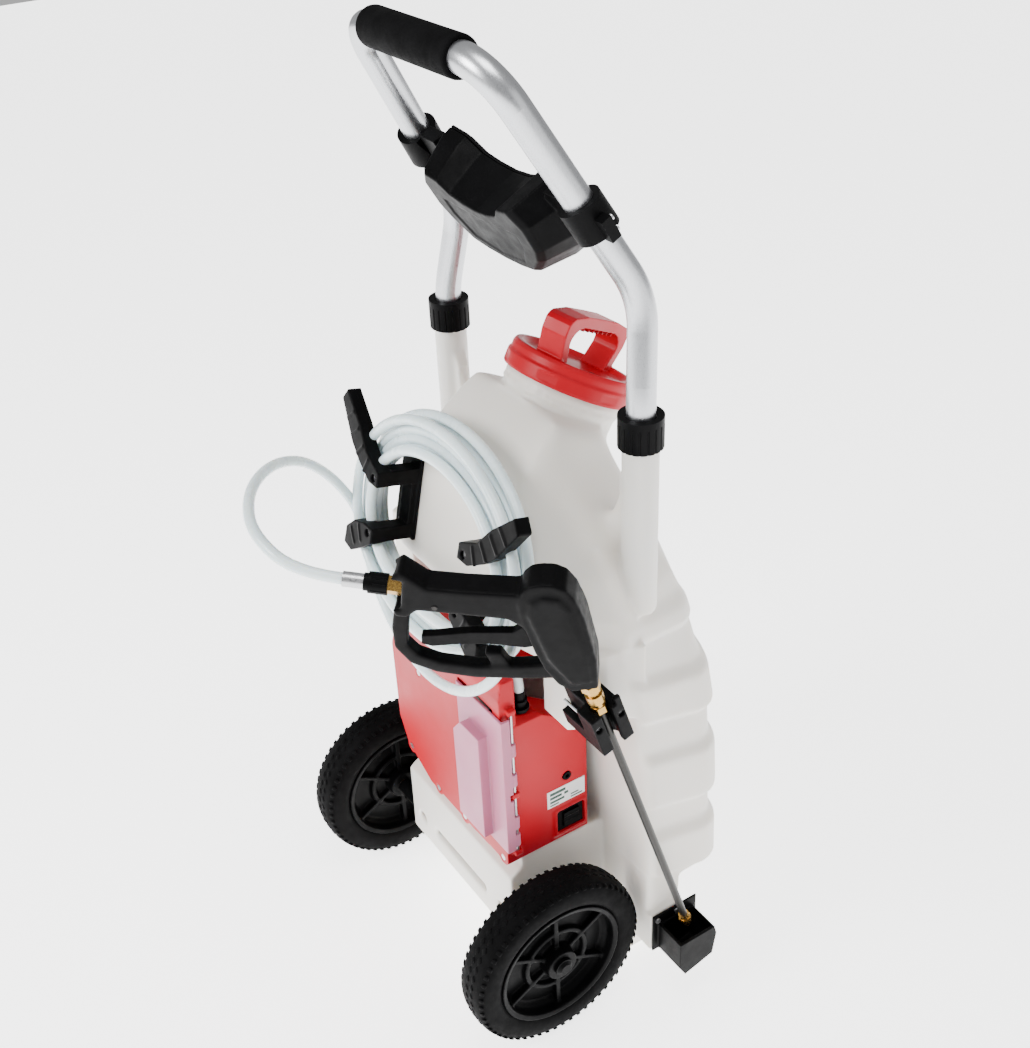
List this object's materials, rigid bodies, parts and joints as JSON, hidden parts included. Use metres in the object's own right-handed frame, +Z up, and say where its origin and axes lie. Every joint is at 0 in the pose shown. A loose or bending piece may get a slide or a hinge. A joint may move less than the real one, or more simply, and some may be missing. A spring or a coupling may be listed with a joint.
{
  "type": "wheeled sprayer cart",
  "caption": "Upright two-wheeled battery sprayer cart: ribbed tank with tilted screw cap, telescopic handle with tool tray, pump unit, coiled hose, trigger gun and stowed lance.",
  "frame": {"origin": "on the ground, in the middle of the central front foot", "axes": "+Z up, +Y towards the operator and the wheels, +X to the right as seen from the front"},
  "size_m": [0.5325, 0.5303, 1.245],
  "materials": {
    "hdpe": "translucent, faint sheen",
    "red_plastic": "semi-gloss",
    "frosted_door": "frosted",
    "black_plastic": "fine texture",
    "tube_alloy": "satin anodised",
    "grip_rubber": "soft",
    "tyre_rubber": "matt",
    "steel": "plain",
    "lance_steel": "dark",
    "brass": "machined",
    "hose": "milky, soft",
    "seal": "soft",
    "label": "printed",
    "battery_case": "plain",
    "strainer": "plain"
  },
  "bodies": {
    "cart": {"axle": "steel", "axle_caps": "black_plastic", "axle_spacers": "black_plastic", "battery": "battery_case", "battery_tray": "black_plastic", "charge_socket": "black_plastic", "collets": "strainer", "door_pin": "steel", "foot_cup": "black_plastic", "gun_nut": "black_plastic", "gun_screws": "steel", "gun_shell_back": "black_plastic", "gun_shell_front": "black_plastic", "holder_screws": "steel", "hook_screws": "steel", "hose_coil": "hose", "hose_hook_left": "black_plastic", "hose_hook_right": "black_plastic", "hose_lead": "hose", "hose_outlet": "black_plastic", "hose_sleeve": "steel", "hose_tail": "hose", "housing_screws": "steel", "inlet_fitting": "brass", "label_plate": "label", "lance_clip": "black_plastic", "lance_coupling": "brass", "lance_tube": "lance_steel", "neck_strainer": "strainer", "nozzle": "brass", "pump_head": "black_plastic", "pump_hoses": "hose", "pump_housing": "red_plastic", "pump_motor": "steel", "switch_bezel": "black_plastic", "tank": "hdpe", "trigger_pin": "steel", "valve_block": "brass"},
    "wheel_left": {"tyre_left": "tyre_rubber", "rim_left": "black_plastic", "bush_left": "brass"},
    "wheel_right": {"tyre_right": "tyre_rubber", "rim_right": "black_plastic", "bush_right": "brass"},
    "handle": {"handle_tube": "tube_alloy", "grip": "grip_rubber", "tray_box": "black_plastic", "cover_pin": "steel", "tray_clamps": "black_plastic", "clamp_screws": "steel"},
    "collar_left": {"collar_left": "black_plastic"},
    "collar_right": {"collar_right": "black_plastic"},
    "tray_cover": {"tray_cover": "black_plastic"},
    "tray_knob": {"tray_knob": "black_plastic"},
    "cap_seal": {"cap_gasket": "seal"},
    "cap": {"cap": "red_plastic", "vent_valve": "seal"},
    "battery_door": {"battery_door": "frosted_door"},
    "power_switch": {"power_switch": "black_plastic"},
    "trigger": {"trigger": "black_plastic"}
  },
  "joints": [
    {"name": "wheel_left_spin", "type": "hinge", "parent": "cart", "child": "wheel_left", "pos_m": [-0.205, 0.23, 0.127], "axis": [1, 0, 0], "continuous": true},
    {"name": "wheel_right_spin", "type": "hinge", "parent": "cart", "child": "wheel_right", "pos_m": [0.205, 0.23, 0.127], "axis": [1, 0, 0], "continuous": true},
    {"name": "handle_slide", "type": "slide", "parent": "cart", "child": "handle", "axis": [0, 0, 1], "range_m": [0, 0.1]},
    {"name": "collar_left_turn", "type": "hinge", "parent": "cart", "child": "collar_left", "pos_m": [-0.196, 0.085, 0.842], "axis": [0, 0, 1], "range_deg": [0, 180]},
    {"name": "collar_right_turn", "type": "hinge", "parent": "cart", "child": "collar_right", "pos_m": [0.196, 0.085, 0.842], "axis": [0, 0, 1], "range_deg": [0, 180]},
    {"name": "tray_cover_hinge", "type": "hinge", "parent": "handle", "child": "tray_cover", "pos_m": [0, 0.05722, 0.99759], "axis": [1, 0, 0], "range_deg": [0, 75]},
    {"name": "tray_knob_turn", "type": "hinge", "parent": "tray_cover", "child": "tray_knob", "pos_m": [0, 0.08639, 1.05062], "axis": [0, -0.8631, 0.505], "range_deg": [0, 90]},
    {"name": "cap_lift", "type": "slide", "parent": "cart", "child": "cap_seal", "axis": [0, -0.4848, 0.8746], "range_m": [0, 0.08]},
    {"name": "cap_turn", "type": "hinge", "parent": "cap_seal", "child": "cap", "pos_m": [0, 0.03346, 0.82853], "axis": [0, -0.4848, 0.8746], "range_deg": [0, 270]},
    {"name": "battery_door_hinge", "type": "hinge", "parent": "cart", "child": "battery_door", "pos_m": [-0.1405, 0.232, 0.357], "axis": [0, 0, 1], "range_deg": [0, 100]},
    {"name": "power_rocker", "type": "hinge", "parent": "cart", "child": "power_switch", "pos_m": [-0.13, 0.146, 0.267], "axis": [0, 1, 0], "range_deg": [0, 12]},
    {"name": "trigger_pull", "type": "hinge", "parent": "cart", "child": "trigger", "pos_m": [-0.24738, 0.24711, 0.68364], "axis": [0.7512, -0.6268, 0.2071], "range_deg": [0, 8], "stiffness_Nm_per_rad": 0.6, "springref_deg": -17.19}
  ]
}
